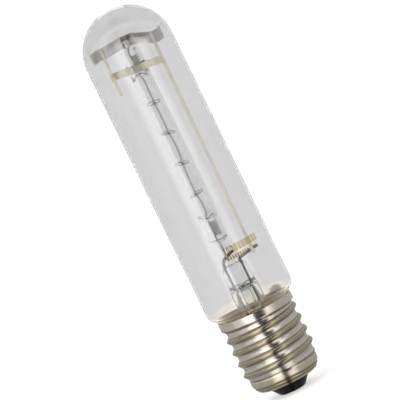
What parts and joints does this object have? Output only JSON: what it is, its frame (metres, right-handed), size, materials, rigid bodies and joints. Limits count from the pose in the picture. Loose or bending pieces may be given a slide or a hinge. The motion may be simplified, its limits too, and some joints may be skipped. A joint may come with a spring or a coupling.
{
  "type": "light bulb",
  "caption": "Clear tubular lamp: a domed glass bulb round a slim quartz burner on a wire frame, with a nickel-plated giant screw cap.",
  "frame": {"origin": "the middle of the centre contact's flat underside, on the lamp's axis", "axes": "+Z along the lamp from the contact to the dome, X and Y across it"},
  "size_m": [0.046, 0.046, 0.2095],
  "materials": {
    "bulb_glass": "clear blown glass",
    "stem_glass": "clear pressed glass",
    "quartz": "clear fused quartz",
    "black_glass": "opaque black glass",
    "plated_cap": "nickel-plated rolled sheet",
    "contact_brass": "plated, lightly worn",
    "solder": "dull solder",
    "cement": "baked cement",
    "lead_wire": "drawn nickel wire",
    "copper_lead": "copper-clad wire",
    "frame_wire": "drawn nickel-plated wire",
    "strip_steel": "rolled strip",
    "molybdenum": "drawn and rolled metal",
    "tungsten": "drawn wire"
  },
  "bodies": {
    "root": {"outer_bulb": "bulb_glass", "cap_shell": "plated_cap", "cap_insulator": "black_glass", "centre_contact": "contact_brass", "contact_solder": "solder", "capping_cement": "cement", "glass_stem": "stem_glass", "inner_lead_left": "lead_wire", "inner_lead_right": "lead_wire", "outer_lead_centre": "copper_lead", "outer_lead_side": "copper_lead", "frame_rod": "frame_wire", "frame_post": "frame_wire", "spring_strip": "strip_steel", "lead_sleeve": "strip_steel", "clamp_front_strap": "strip_steel", "clamp_rear_strap": "strip_steel", "burner_tube": "quartz", "lower_foil": "molybdenum", "upper_foil": "molybdenum", "lower_burner_lead": "molybdenum", "upper_burner_lead": "molybdenum", "filament": "tungsten", "filament_support_1": "tungsten", "filament_support_2": "tungsten", "filament_support_3": "tungsten", "filament_support_4": "tungsten"}
  },
  "joints": []
}
